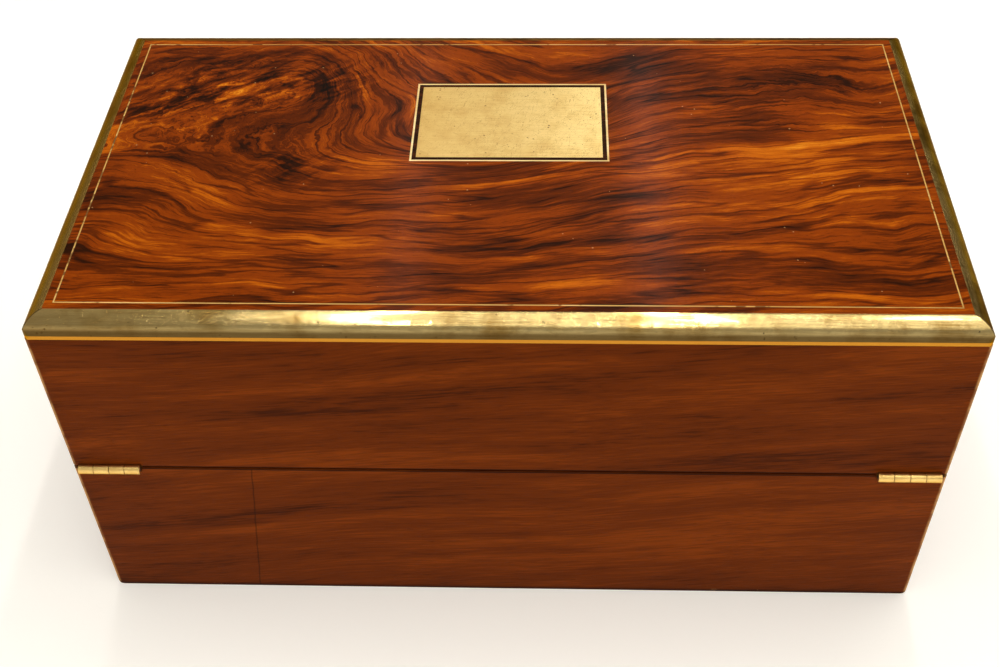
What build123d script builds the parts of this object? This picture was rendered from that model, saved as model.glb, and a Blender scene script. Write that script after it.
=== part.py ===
"""Walnut writing slope, closed. Millimetres, +Z up, hinge side towards -Y, lock side towards +Y.

The origin is the centre of the carcass on the underside. The seam between the base and the lid lies in a
plane that rises from the hinge line to the lock side. Places on it are given as u, the distance up the slope
from the hinge line, and n, the height square to it: the base is below n = 0, the lid above.
"""

from build123d import *
from math import cos, radians, sin
from os import makedirs

makedirs("parts", exist_ok=True)

# Carcass
width = 400.0
depth = 220.0
height = 185.0
wall = 10.0
slope_angle = 11.0
seam_gap = 1.0
corner_radius = 1.8
seam_arris_radius = 0.5
foot_radius = 3.5
bottom_thickness = 6.0
lining_thickness = 0.8

# Figured veneer and its inlay
veneer_thickness = 0.9
border_margin = 3.5
border_line = 0.8
border_depth = 0.6
plate_length = 87.0
plate_width = 57.0
plate_offset = 31.0
banding_width = 2.0
plate_line = 0.9

# Rolled brass edge
edge_inset = 8.2
edge_height = 10.2
edge_proud = 0.2
edge_land = 0.6
edge_roll = 8.0
edge_fullness = 0.5
edge_foot_radius = 0.3
edge_corner_radius = 3.0

# Main hinges
hinge_length = 28.4
hinge_inset = 3.2
hinge_radius = 2.3
hinge_pin_proud = 1.1
hinge_pin_radius = 1.0
hinge_knuckles = 4
hinge_leaf = 1.2
hinge_leaf_gap = 0.4
hinge_leaf_margin = 1.0
knuckle_gap = 0.3
barrel_clearance = 0.35
pin_clearance = 0.05

# Countersunk screw holes in the brass
screw_head_radius = 2.0
screw_shank_radius = 1.0
screw_spacing = 9.5

# Writing flaps
recess = 2.0
rail_width = 13.0
rail_thickness = 6.0
flap_thickness = 5.0
flap_joint = 1.2
flap_side_clearance = 0.6
flap_end_clearance = 0.6
leather_margin = 13.0
leather_thickness = 0.9
ledge_width = 6.0
ledge_height = 6.0
ledge_clearance = 0.2
notch_radius = 8.0
lid_notch_offset = 60.0
flap_hinge_length = 24.0
flap_hinge_radius = 1.5
flap_hinge_sink = 0.4
flap_hinge_pin_radius = 0.7
flap_hinge_knuckles = 3
flap_hinge_leaf = 0.9
flap_hinge_reach = 8.0
flap_hinge_offset = 120.0

# Turn button on the lid's front rail
catch_length = 16.0
catch_width = 6.0
catch_thickness = 1.2
catch_edge_distance = 5.0
catch_lift = 0.15
catch_pin_radius = 1.2
catch_pin_clearance = 0.05
catch_head_radius = 2.2
catch_head_height = 0.35
catch_screw_depth = 5.0
front_rail_width = 14.0

# Pen section
divider_thickness = 6.0
pen_section_depth = 50.0
pen_floor_height = 72.0
pen_floor_thickness = 5.0
ink_well_width = 46.0
ink_divider_thickness = 5.0
tray_ledge = 4.0
tray_thickness = 16.0
tray_drop = 1.0
tray_clearance = 0.3
scoop_width = 34.0
scoop_depth = 11.0
nib_well_length = 26.0
nib_well_radius = 2.0
scoop_border = 8.0
bottle_side = 38.0
bottle_height = 30.0
bottle_corner = 4.0
bottle_shoulder = 5.0
bottle_neck_radius = 11.0
bottle_neck_height = 7.0
bottle_bore_radius = 8.5
bottle_floor = 6.0
cap_radius = 13.0
cap_wall = 1.2
cap_clearance = 0.3

# Box lock in the base's front wall
lock_half_length = 33.0
lock_height = 32.0
lock_plate = 1.4
lock_depth = 7.0
selvedge_half_length = 35.0
selvedge_width = 7.5
selvedge_thickness = 1.5
cap_half_length = 27.0
cap_margin = 1.0
cap_rise = 22.0
cap_plate = 1.0
lock_fit = 0.5
eye_offset = 15.0
eye_thickness = 2.0
eye_half_width = 2.0
eye_depth = 7.0
eye_hole_depth = 4.6
eye_hole = 2.8
eye_slot_clearance = 0.6
bolt_thickness = 2.0
bolt_throw = 4.5
bolt_stand_off = 1.6
bolt_bar_height = 8.0
bolt_bar_base = 11.0
bolt_arm = 4.0
bolt_finger = 4.0
bolt_tip_gap = 1.0
talon_width = 5.0
talon_depth = 2.5
stump_offset = 16.0
stump_return = 5.0
stump_rise = 5.5
stump_radius = 1.2
stump_clearance = 0.1
drill_pin_radius = 1.2
keyhole_base = 8.5
keyhole_radius = 2.4
keyhole_slot = 2.2
keyhole_drop = 6.0
escutcheon_rim = 1.2
escutcheon_depth = 1.6
link_half_length = 27.0
link_width = 8.0
link_inset = 0.5
link_thickness = 1.5
plate_screw_inset = 3.5

# Places that follow from the sizes
inner_x = width / 2 - wall
inner_y = depth / 2 - wall
slope_cos = cos(radians(slope_angle))
slope_sin = sin(radians(slope_angle))
hinge_y = -depth / 2 - hinge_pin_proud
hinge_z = height / 2
seam = Plane(origin=(0, hinge_y, hinge_z), x_dir=(1, 0, 0), z_dir=(0, -slope_sin, slope_cos))
lid_board_base = height - edge_height
divider_y = inner_y - pen_section_depth - divider_thickness
pen_y = inner_y - pen_section_depth
pen_floor_top = pen_floor_height + pen_floor_thickness


def write(piece, name):
    """Labels a finished piece and writes its STEP file."""
    piece.part.label = name
    export_step(piece.part, f"parts/{name}.step")


def slope_point(u, n):
    """(y, z) of a point u up the slope from the hinge line and n above the seam."""
    return (hinge_y + u * slope_cos - n * slope_sin, hinge_z + u * slope_sin + n * slope_cos)


def slope_u(y, n):
    """How far up the slope a vertical face at y lies, at the height n."""
    return (y - hinge_y + n * slope_sin) / slope_cos


def face_point(y, n):
    """(y, z) of the point of a vertical face at y that is n above the seam."""
    return slope_point(slope_u(y, n), n)


def slope_block(u_from, u_to, n_from, n_to):
    """Corners in the YZ plane of a block that lies square to the slope."""
    return [
        slope_point(u_from, n_from),
        slope_point(u_to, n_from),
        slope_point(u_to, n_to),
        slope_point(u_from, n_to),
    ]


def slope_location(x, u, n, side):
    """Location on the slope whose Z axis points away from the seam, into the base (-1) or the lid (1)."""
    y, z = slope_point(u, n)
    return Plane(
        origin=(x, y, z), x_dir=(1, 0, 0), z_dir=(0, -side * slope_sin, side * slope_cos)
    ).location


def add_bar(points, x_from, x_to, mode=Mode.ADD):
    """Extrudes an outline of the YZ plane along X."""
    with BuildSketch(Plane.YZ.offset(x_from)) as outline:
        Polygon(*points, align=None)
    extrude(outline.sketch, amount=x_to - x_from, mode=mode)


def add_rod(centre, radius, x_from, x_to, mode=Mode.ADD):
    """A round bar along X, centred on a point of the YZ plane."""
    with BuildSketch(Plane.YZ.offset(x_from)) as disc:
        with Locations(centre):
            Circle(radius)
    extrude(disc.sketch, amount=x_to - x_from, mode=mode)


def add_block(low, high, mode=Mode.ADD):
    """A box between two corners."""
    with Locations([tuple((a + b) / 2 for a, b in zip(low, high))]):
        Box(*[b - a for a, b in zip(low, high)], mode=mode)


def mitred_strip(side, inner, outer):
    """Plan of one side's strip, mitred at both corners, from inner inside the carcass to outer beyond it."""
    x_out, y_out = width / 2 + outer, depth / 2 + outer
    x_in, y_in = width / 2 - inner, depth / 2 - inner
    if side in ("back", "front"):
        s = -1 if side == "back" else 1
        return [(-x_out, s * y_out), (x_out, s * y_out), (x_in, s * y_in), (-x_in, s * y_in)]
    s = -1 if side == "left" else 1
    return [(s * x_out, -y_out), (s * x_out, y_out), (s * x_in, y_in), (s * x_in, -y_in)]


def add_ring(z_from, z_to):
    """All four walls between two heights."""
    with BuildSketch(Plane.XY.offset(z_from)) as plan:
        RectangleRounded(width, depth, corner_radius)
        Rectangle(2 * inner_x, 2 * inner_y, mode=Mode.SUBTRACT)
    extrude(plan.sketch, amount=z_to - z_from)


def trim_at_seam(side):
    """Cuts the walls off along the seam, keeping the base (-1) or the lid (1), and eases the outer arris."""
    split(bisect_by=seam.offset(side * seam_gap / 2), keep=Keep.BOTTOM if side < 0 else Keep.TOP)
    rim = faces().filter_by(seam)[0]
    fillet(rim.outer_wire().edges(), seam_arris_radius)


def cut_mitres(side):
    """Keeps one side's wall of a ring of four."""
    with BuildSketch(Plane.XY) as strip:
        Polygon(*mitred_strip(side, 2 * wall, wall), align=None)
    extrude(strip.sketch, amount=height + wall, mode=Mode.INTERSECT)


def cut_screw_holes(locations, thickness):
    """Countersunk holes through metal of a thickness, each from its location along its own Z axis."""
    with Locations(*locations):
        Cone(
            screw_head_radius,
            screw_shank_radius,
            thickness,
            align=(Align.CENTER, Align.CENTER, Align.MIN),
            mode=Mode.SUBTRACT,
        )


# Main hinges. The leaves lie in the seam, let into the top of the base and the foot of the lid, and each barrel
# lies half in a groove there. Seen from the back it has four knuckles: the first and third belong to the lid,
# the others to the base.
hinge_starts = {
    "left": -width / 2 + hinge_inset,
    "right": width / 2 - hinge_inset - hinge_length,
}
leaf_inner = hinge_leaf_gap / 2
leaf_outer = leaf_inner + hinge_leaf
leaf_reach = slope_u(-inner_y - hinge_leaf_margin, 0)
screw_u = (slope_u(-depth / 2, 0) + leaf_reach) / 2


def add_hinge_half(x_start, own, axis_point, sizes, strap, mode=Mode.ADD):
    """A hinge leaf with its knuckles.

    axis_point is (u, n) of the pin; sizes is (length, knuckles, barrel radius, bore radius); strap is
    (n_from, n_to, reach), where reach is the signed distance of the leaf's far edge from the pin.
    """
    length, knuckles, radius, bore = sizes
    n_from, n_to, reach = strap
    axis_u, axis_n = axis_point
    clear = (radius + barrel_clearance) * (1 if reach > 0 else -1)
    centre = slope_point(axis_u, axis_n)
    pitch = (length + knuckle_gap) / knuckles
    add_bar(
        slope_block(axis_u + clear, axis_u + reach, n_from, n_to), x_start, x_start + length
    )
    for index in own:
        start = x_start + index * pitch
        end = start + pitch - knuckle_gap
        add_rod(centre, radius, start, end)
        add_bar(slope_block(axis_u, axis_u + clear, n_from, n_to), start, end)
    add_rod(centre, bore, x_start, x_start + length, mode=Mode.SUBTRACT)


main_sizes = (hinge_length, hinge_knuckles, hinge_radius, hinge_pin_radius + pin_clearance)


def hinge_screw_places(x_start, side):
    """Three screws along a leaf, from the face that meets the other leaf."""
    middle = x_start + hinge_length / 2
    return [
        slope_location(middle + step * screw_spacing, screw_u, side * leaf_inner, side)
        for step in (-1, 0, 1)
    ]


def cut_hinge_mortises(side):
    """Lets both hinges into the seam face of the walls."""
    for x_start in hinge_starts.values():
        add_bar(
            slope_block(0, leaf_reach, 0, side * leaf_outer),
            x_start,
            x_start + hinge_length,
            mode=Mode.SUBTRACT,
        )
        add_rod(
            (hinge_y, hinge_z),
            hinge_radius + barrel_clearance,
            x_start - knuckle_gap,
            x_start + hinge_length + knuckle_gap,
            mode=Mode.SUBTRACT,
        )


for hand, x_start in hinge_starts.items():
    with BuildPart() as base_leaf:
        add_hinge_half(
            x_start, (1, 3), (0, 0), main_sizes, (-leaf_outer, -leaf_inner, leaf_reach)
        )
        cut_screw_holes(hinge_screw_places(x_start, -1), hinge_leaf)
    write(base_leaf, f"{hand}_hinge_base_leaf")

    with BuildPart() as lid_leaf:
        add_hinge_half(x_start, (0, 2), (0, 0), main_sizes, (leaf_inner, leaf_outer, leaf_reach))
        cut_screw_holes(hinge_screw_places(x_start, 1), hinge_leaf)
    write(lid_leaf, f"{hand}_hinge_lid_leaf")

with BuildPart() as hinge_pins:
    for x_start in hinge_starts.values():
        add_rod((hinge_y, hinge_z), hinge_pin_radius, x_start, x_start + hinge_length)
write(hinge_pins, "hinge_pins")


# Box lock. Its plate is flush with the inside of the front wall, its selvedge with the seam. The bolt slides
# sideways, to the right as seen from inside, and its two fingers pass through the eyes of the link plate.
lock_top = face_point(inner_y, -seam_gap / 2)[1]
lock_base = lock_top - lock_height
lock_pocket_y = inner_y + lock_depth
cap_base = lock_base + cap_margin
bolt_y = inner_y + lock_plate + bolt_stand_off
finger_y = bolt_y + bolt_thickness / 2
eye_u = slope_u(finger_y, -eye_hole_depth)
finger_z = slope_point(eye_u, -eye_hole_depth)[1]
selvedge_low = -seam_gap / 2 - selvedge_thickness
eye_centres = (-eye_offset, eye_offset)
bar_base = lock_base + bolt_bar_base
stump_z = bar_base + stump_rise
stump_places = (-stump_offset, stump_return)
keyhole_z = lock_base + keyhole_base
selvedge_screw_x = selvedge_half_length - plate_screw_inset
lock_screw_x = (lock_half_length + cap_half_length + lock_fit) / 2


def flange(width_out, n_from, n_to):
    """Outline of a strip flush with the seam, from the wall's inner face outwards."""
    return [
        face_point(inner_y, n_from),
        face_point(inner_y + width_out, n_from),
        face_point(inner_y + width_out, n_to),
        face_point(inner_y, n_to),
    ]


def keyhole_outline(margin):
    """Round top and straight slot below, widened all round by margin."""
    with Locations((0, keyhole_z)):
        Circle(keyhole_radius + margin)
    with Locations((0, keyhole_z)):
        Rectangle(
            keyhole_slot + 2 * margin, keyhole_drop + margin, align=(Align.CENTER, Align.MAX)
        )


def lock_screw_places():
    """Two screws down through the selvedge, two through the plate into the wall."""
    screw_line = slope_u(inner_y + selvedge_width / 2, 0)
    down = [
        slope_location(s * selvedge_screw_x, screw_line, -seam_gap / 2, -1) for s in (-1, 1)
    ]
    through = [
        Plane(
            origin=(s * lock_screw_x, inner_y, lock_base + plate_screw_inset),
            x_dir=(1, 0, 0),
            z_dir=(0, 1, 0),
        ).location
        for s in (-1, 1)
    ]
    return down, through


selvedge_screws, plate_screws = lock_screw_places()

with BuildPart() as lock_case:
    add_bar(
        flange(selvedge_width, -seam_gap / 2, selvedge_low),
        -selvedge_half_length,
        selvedge_half_length,
    )
    plate_outline = [
        (inner_y, lock_base),
        (inner_y + lock_plate, lock_base),
        face_point(inner_y + lock_plate, selvedge_low),
        face_point(inner_y, selvedge_low),
    ]
    add_bar(plate_outline, -lock_half_length, lock_half_length)
    with BuildSketch(Plane.XZ.offset(-inner_y - lock_plate)):
        with Locations(*[(x, stump_z) for x in stump_places]):
            Circle(stump_radius)
    extrude(amount=-(lock_depth - lock_plate - cap_plate))
    with BuildSketch(Plane.XZ.offset(-inner_y - lock_plate)):
        with Locations((0, keyhole_z)):
            Circle(drill_pin_radius)
    extrude(amount=-(lock_depth - lock_plate - cap_plate))
    for x in eye_centres:
        half = eye_thickness / 2 + eye_slot_clearance
        add_bar(
            slope_block(
                eye_u - eye_half_width - eye_slot_clearance,
                eye_u + eye_half_width + eye_slot_clearance,
                -eye_depth - eye_slot_clearance,
                0,
            ),
            x - half,
            x + half,
            mode=Mode.SUBTRACT,
        )
    cut_screw_holes(selvedge_screws, selvedge_thickness)
    cut_screw_holes(plate_screws, lock_plate)
write(lock_case, "lock_case")

with BuildPart() as lock_cap:
    add_block(
        (-cap_half_length, inner_y + lock_plate, cap_base),
        (cap_half_length, lock_pocket_y, lock_base + cap_rise),
    )
    add_block(
        (-cap_half_length + cap_plate, inner_y + lock_plate, cap_base + cap_plate),
        (cap_half_length - cap_plate, lock_pocket_y - cap_plate, lock_base + cap_rise),
        mode=Mode.SUBTRACT,
    )
    with BuildSketch(Plane.XZ.offset(-lock_pocket_y)):
        keyhole_outline(0)
    extrude(amount=cap_plate, mode=Mode.SUBTRACT)
write(lock_cap, "lock_cap")

with BuildPart() as lock_bolt:
    bar_top = bar_base + bolt_bar_height
    tips = [x - eye_thickness / 2 - bolt_tip_gap for x in eye_centres]
    finger_half = bolt_thickness / 2
    arm_starts = [tip - bolt_finger - bolt_arm for tip in tips]
    add_block(
        (arm_starts[0], bolt_y, bar_base), (arm_starts[1] + bolt_arm, bolt_y + bolt_thickness, bar_top)
    )
    for start, tip in zip(arm_starts, tips):
        add_block(
            (start, bolt_y, bar_base),
            (start + bolt_arm, bolt_y + bolt_thickness, finger_z + finger_half),
        )
        add_block(
            (start, bolt_y, finger_z - finger_half),
            (tip, bolt_y + bolt_thickness, finger_z + finger_half),
        )
    add_block(
        (-talon_width / 2 - bolt_throw / 2, bolt_y, bar_base),
        (talon_width / 2 - bolt_throw / 2, bolt_y + bolt_thickness, bar_base + talon_depth),
        mode=Mode.SUBTRACT,
    )
    with BuildSketch(Plane.XZ.offset(-bolt_y - bolt_thickness)):
        with Locations(*[(x - bolt_throw / 2, stump_z) for x in stump_places]):
            SlotCenterToCenter(bolt_throw, 2 * (stump_radius + stump_clearance))
    extrude(amount=bolt_thickness, mode=Mode.SUBTRACT)
write(lock_bolt, "lock_bolt")

with BuildPart() as keyhole_escutcheon:
    with BuildSketch(Plane.XZ.offset(-depth / 2)):
        keyhole_outline(escutcheon_rim)
    extrude(amount=escutcheon_depth)
    with BuildSketch(Plane.XZ.offset(-depth / 2)):
        keyhole_outline(0)
    extrude(amount=escutcheon_depth, mode=Mode.SUBTRACT)
write(keyhole_escutcheon, "keyhole_escutcheon")

link_low = seam_gap / 2
link_screws_at = [
    slope_location(
        s * (link_half_length - plate_screw_inset),
        slope_u(inner_y + wall / 2, 0),
        link_low,
        1,
    )
    for s in (-1, 1)
]
link_near = inner_y + link_inset


def link_outline():
    """The link plate's section, let in flush with the lid's seam face."""
    return [
        face_point(link_near, link_low),
        face_point(link_near + link_width, link_low),
        face_point(link_near + link_width, link_low + link_thickness),
        face_point(link_near, link_low + link_thickness),
    ]


with BuildPart() as link_plate:
    add_bar(link_outline(), -link_half_length, link_half_length)
    for x in eye_centres:
        x_from, x_to = x - eye_thickness / 2, x + eye_thickness / 2
        add_bar(
            slope_block(
                eye_u - eye_half_width, eye_u + eye_half_width, -eye_depth, link_low + link_thickness / 2
            ),
            x_from,
            x_to,
        )
        add_block(
            (x_from, finger_y - eye_hole / 2, finger_z - eye_hole / 2),
            (x_to, finger_y + eye_hole / 2, finger_z + eye_hole / 2),
            mode=Mode.SUBTRACT,
        )
    cut_screw_holes(link_screws_at, link_thickness)
write(link_plate, "link_plate")


# Base walls, mitred at the corners, with the worn bottom ends rounded.
with BuildPart() as base_ring:
    add_ring(0, height)
    trim_at_seam(-1)
    with BuildSketch(Plane.XZ):
        with Locations((0, height)):
            Rectangle(width, 2 * height)
        fillet(vertices().group_by(Axis.Y)[0], foot_radius)
    extrude(amount=depth, both=True, mode=Mode.INTERSECT)
    cut_hinge_mortises(-1)

for side in ("back", "front", "left", "right"):
    with BuildPart() as base_wall:
        add(base_ring.part)
        cut_mitres(side)
        if side == "front":
            add_bar(
                flange(selvedge_width, 0, selvedge_low),
                -selvedge_half_length,
                selvedge_half_length,
                mode=Mode.SUBTRACT,
            )
            recess_outline = [
                (inner_y, lock_base),
                (inner_y + lock_plate, lock_base),
                face_point(inner_y + lock_plate, 0),
                face_point(inner_y, 0),
            ]
            add_bar(recess_outline, -lock_half_length, lock_half_length, mode=Mode.SUBTRACT)
            pocket_half = cap_half_length + lock_fit
            pocket_outline = [
                (inner_y, cap_base - lock_fit),
                (lock_pocket_y, cap_base - lock_fit),
                face_point(lock_pocket_y, selvedge_low),
                face_point(inner_y, selvedge_low),
            ]
            add_bar(pocket_outline, -pocket_half, pocket_half, mode=Mode.SUBTRACT)
            with BuildSketch(Plane.XZ.offset(-depth / 2)):
                keyhole_outline(0)
            extrude(amount=wall - lock_depth, mode=Mode.SUBTRACT)
            with BuildSketch(Plane.XZ.offset(-depth / 2)):
                keyhole_outline(escutcheon_rim)
            extrude(amount=escutcheon_depth, mode=Mode.SUBTRACT)
    write(base_wall, f"base_{side}" if side in ("back", "front") else f"base_{side}_end")

with BuildPart() as base_bottom:
    add_block((-inner_x, -inner_y, 0), (inner_x, inner_y, bottom_thickness))
write(base_bottom, "base_bottom")

with BuildPart() as base_lining:
    add_block(
        (-inner_x, -inner_y, bottom_thickness),
        (inner_x, inner_y, bottom_thickness + lining_thickness),
    )
write(base_lining, "base_lining")


# Lid walls. The board that they carry, and the brass edge round it, lie on their top.
with BuildPart() as lid_ring:
    add_ring(0, lid_board_base)
    trim_at_seam(1)
    cut_hinge_mortises(1)

for side in ("back", "front", "left", "right"):
    with BuildPart() as lid_wall:
        add(lid_ring.part)
        cut_mitres(side)
        if side == "front":
            add_bar(link_outline(), -link_half_length, link_half_length, mode=Mode.SUBTRACT)
    write(lid_wall, f"lid_{side}" if side in ("back", "front") else f"lid_{side}_end")

field_x = width / 2 - edge_inset
field_y = depth / 2 - edge_inset
with BuildPart() as lid_top:
    add_block(
        (-field_x, -field_y, lid_board_base), (field_x, field_y, height - veneer_thickness)
    )
write(lid_top, "lid_top")

with BuildPart() as lid_lining:
    add_block(
        (-inner_x, -inner_y, lid_board_base - lining_thickness), (inner_x, inner_y, lid_board_base)
    )
write(lid_lining, "lid_lining")


# Veneer and inlay, all flush. The border line is let into the veneer.
# The plate and its frames go through it.
veneer_base = Plane.XY.offset(height - veneer_thickness)
plate_centre = (0, plate_offset)


def border_ring(mode):
    """The pale line near the edge of the lid."""
    with BuildSketch(Plane.XY.offset(height)) as ring:
        Rectangle(2 * (field_x - border_margin), 2 * (field_y - border_margin))
        Rectangle(
            2 * (field_x - border_margin - border_line),
            2 * (field_y - border_margin - border_line),
            mode=Mode.SUBTRACT,
        )
    extrude(ring.sketch, amount=-border_depth, mode=mode)


def plate_frame(outer, inner):
    """A flat frame round the plate, from inner to outer beyond its edge."""
    with BuildSketch(veneer_base) as frame:
        with Locations(plate_centre):
            Rectangle(plate_length + 2 * outer, plate_width + 2 * outer)
            Rectangle(plate_length + 2 * inner, plate_width + 2 * inner, mode=Mode.SUBTRACT)
    extrude(frame.sketch, amount=veneer_thickness)


with BuildPart() as lid_veneer:
    with BuildSketch(veneer_base):
        Rectangle(2 * field_x, 2 * field_y)
        with Locations(plate_centre):
            Rectangle(
                plate_length + 2 * (banding_width + plate_line),
                plate_width + 2 * (banding_width + plate_line),
                mode=Mode.SUBTRACT,
            )
    extrude(amount=veneer_thickness)
    border_ring(Mode.SUBTRACT)
write(lid_veneer, "lid_veneer")

with BuildPart() as border_stringing:
    border_ring(Mode.ADD)
write(border_stringing, "border_stringing")

with BuildPart() as plate_stringing:
    plate_frame(banding_width + plate_line, banding_width)
write(plate_stringing, "plate_stringing")

with BuildPart() as plate_banding:
    plate_frame(banding_width, 0)
write(plate_banding, "plate_banding")

with BuildPart() as brass_plate:
    with BuildSketch(veneer_base):
        with Locations(plate_centre):
            Rectangle(plate_length, plate_width)
    extrude(amount=veneer_thickness)
write(brass_plate, "brass_plate")


# Rolled brass edge: a flat land beside the veneer, a rolled face and a plain foot.
# Each length is one profile, mitred at both ends, with the corners of the lid rounded in plan.
edge_x = width / 2 + edge_proud
edge_y = depth / 2 + edge_proud
edge_planes = {
    "back": Plane(origin=(0, -depth / 2, height), x_dir=(0, -1, 0), z_dir=(-1, 0, 0)),
    "front": Plane(origin=(0, depth / 2, height), x_dir=(0, 1, 0), z_dir=(1, 0, 0)),
    "left": Plane(origin=(-width / 2, 0, height), x_dir=(-1, 0, 0), z_dir=(0, 1, 0)),
    "right": Plane(origin=(width / 2, 0, height), x_dir=(1, 0, 0), z_dir=(0, -1, 0)),
}
land_end = (-edge_inset + edge_land, 0)
roll_end = (edge_proud, -edge_roll)
land_pull = (land_end[0] + edge_fullness * (roll_end[0] - land_end[0]), 0)
roll_pull = (edge_proud, -edge_roll + edge_fullness * edge_roll)
foot_top = (edge_proud, -edge_height + edge_foot_radius)
foot_end = (edge_proud - edge_foot_radius, -edge_height)


def round_edge_corners():
    """Cuts the lid's four corners back to their radius in plan."""
    with BuildSketch(Plane.XY.offset(height)) as corners:
        Rectangle(2 * edge_x, 2 * edge_y)
        RectangleRounded(2 * edge_x, 2 * edge_y, edge_corner_radius, mode=Mode.SUBTRACT)
    extrude(corners.sketch, amount=-edge_height, mode=Mode.SUBTRACT)


for side, profile_plane in edge_planes.items():
    with BuildPart() as edge_moulding:
        with BuildSketch(profile_plane):
            with BuildLine():
                Line((-edge_inset, 0), land_end)
                Bezier(land_end, land_pull, roll_pull, roll_end)
                Line(roll_end, foot_top)
                RadiusArc(foot_top, foot_end, edge_foot_radius)
                Line(foot_end, (-edge_inset, -edge_height))
                Line((-edge_inset, -edge_height), (-edge_inset, 0))
            make_face()
        extrude(amount=edge_x, both=True)
        cut_mitres(side)
        round_edge_corners()
    write(edge_moulding, f"edge_moulding_{side}")


# Writing flaps. Beside the seam a rail is glued to each back wall, and the flap hangs on it by two small
# hinges whose leaves are let in flush. Leather is let into the flap's face.
rail_u = {side: slope_u(-inner_y, side * recess) + rail_width for side in (-1, 1)}
front_rail_u = slope_u(inner_y, recess) - front_rail_width
flap_starts = {side: rail_u[side] + flap_joint for side in (-1, 1)}
flap_ends = {
    -1: slope_u(divider_y - flap_end_clearance, -recess - flap_thickness),
    1: front_rail_u - flap_end_clearance,
}
flap_half = inner_x - flap_side_clearance
notch_x = {-1: 0, 1: lid_notch_offset}
flap_sizes = (
    flap_hinge_length,
    flap_hinge_knuckles,
    flap_hinge_radius,
    flap_hinge_pin_radius + pin_clearance,
)
flap_hinge_starts = [
    s * flap_hinge_offset - flap_hinge_length / 2 for s in (-1, 1)
]
barrel_room = flap_hinge_radius + barrel_clearance


def flap_axis(side):
    """(u, n) of a flap's hinge pins."""
    return (rail_u[side] + flap_joint / 2, side * (recess + flap_hinge_sink))


def cut_flap_hinges(side, direction):
    """Room in a rail (direction -1) or a flap (1) for the leaves and the barrels of its hinges."""
    axis_u, axis_n = flap_axis(side)
    for x_start in flap_hinge_starts:
        x_end = x_start + flap_hinge_length
        add_bar(
            slope_block(
                axis_u,
                axis_u + direction * flap_hinge_reach,
                0,
                side * (recess + flap_hinge_leaf),
            ),
            x_start,
            x_end,
            mode=Mode.SUBTRACT,
        )
        add_rod(
            slope_point(axis_u, axis_n),
            barrel_room,
            x_start - knuckle_gap,
            x_end + knuckle_gap,
            mode=Mode.SUBTRACT,
        )


for side, half in ((-1, "base"), (1, "lid")):
    surface = side * recess
    back = side * (recess + rail_thickness)
    with BuildPart() as hinge_rail:
        rail_outline = [
            face_point(-inner_y, surface),
            slope_point(rail_u[side], surface),
            slope_point(rail_u[side], back),
            face_point(-inner_y, back),
        ]
        add_bar(rail_outline, -inner_x, inner_x)
        cut_flap_hinges(side, -1)
    write(hinge_rail, f"{half}_hinge_rail")

    underside = side * (recess + flap_thickness)
    with BuildPart() as flap_board:
        add_bar(
            slope_block(flap_starts[side], flap_ends[side], surface, underside), -flap_half, flap_half
        )
        cut_flap_hinges(side, 1)
        leather_n = side * (recess + leather_thickness)
        add_bar(
            slope_block(
                flap_starts[side] + leather_margin, flap_ends[side] - leather_margin, surface, leather_n
            ),
            -flap_half + leather_margin,
            flap_half - leather_margin,
            mode=Mode.SUBTRACT,
        )
        with Locations(slope_location(notch_x[side], flap_ends[side], surface, side)):
            Cylinder(
                notch_radius,
                flap_thickness,
                align=(Align.CENTER, Align.CENTER, Align.MIN),
                mode=Mode.SUBTRACT,
            )
    write(flap_board, f"{half}_flap_board")

    with BuildPart() as flap_leather:
        add_bar(
            slope_block(
                flap_starts[side] + leather_margin, flap_ends[side] - leather_margin, surface, leather_n
            ),
            -flap_half + leather_margin,
            flap_half - leather_margin,
        )
    write(flap_leather, f"{half}_flap_leather")

    leaf_back = side * (recess + flap_hinge_leaf)
    with BuildPart() as rail_leaves:
        for x_start in flap_hinge_starts:
            add_hinge_half(
                x_start, (0, 2), flap_axis(side), flap_sizes, (surface, leaf_back, -flap_hinge_reach)
            )
    write(rail_leaves, f"{half}_flap_rail_leaves")

    with BuildPart() as flap_leaves:
        for x_start in flap_hinge_starts:
            add_hinge_half(
                x_start, (1,), flap_axis(side), flap_sizes, (surface, leaf_back, flap_hinge_reach)
            )
    write(flap_leaves, f"{half}_flap_leaves")

    with BuildPart() as flap_pins:
        for x_start in flap_hinge_starts:
            add_rod(
                slope_point(*flap_axis(side)),
                flap_hinge_pin_radius,
                x_start,
                x_start + flap_hinge_length,
            )
    write(flap_pins, f"{half}_flap_hinge_pins")

    ledge_near = side * (recess + flap_thickness + ledge_clearance)
    ledge_far = ledge_near + side * ledge_height
    far_end = (
        [face_point(divider_y, ledge_near), face_point(divider_y, ledge_far)]
        if side < 0
        else [slope_point(front_rail_u, ledge_near), slope_point(front_rail_u, ledge_far)]
    )
    ledge_outline = [
        slope_point(rail_u[side], ledge_near),
        *far_end,
        slope_point(rail_u[side], ledge_far),
    ]
    with BuildPart() as flap_ledges:
        add_bar(ledge_outline, -inner_x, -inner_x + ledge_width)
        add_bar(ledge_outline, inner_x - ledge_width, inner_x)
    write(flap_ledges, f"{half}_flap_ledges")


# The lid's front rail and the turn button that keeps the lid's flap shut.
catch_u = front_rail_u + catch_edge_distance
catch_face = recess - catch_lift
catch_inner = catch_face - catch_thickness
catch_head_top = catch_inner - catch_pin_clearance - catch_head_height

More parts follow.
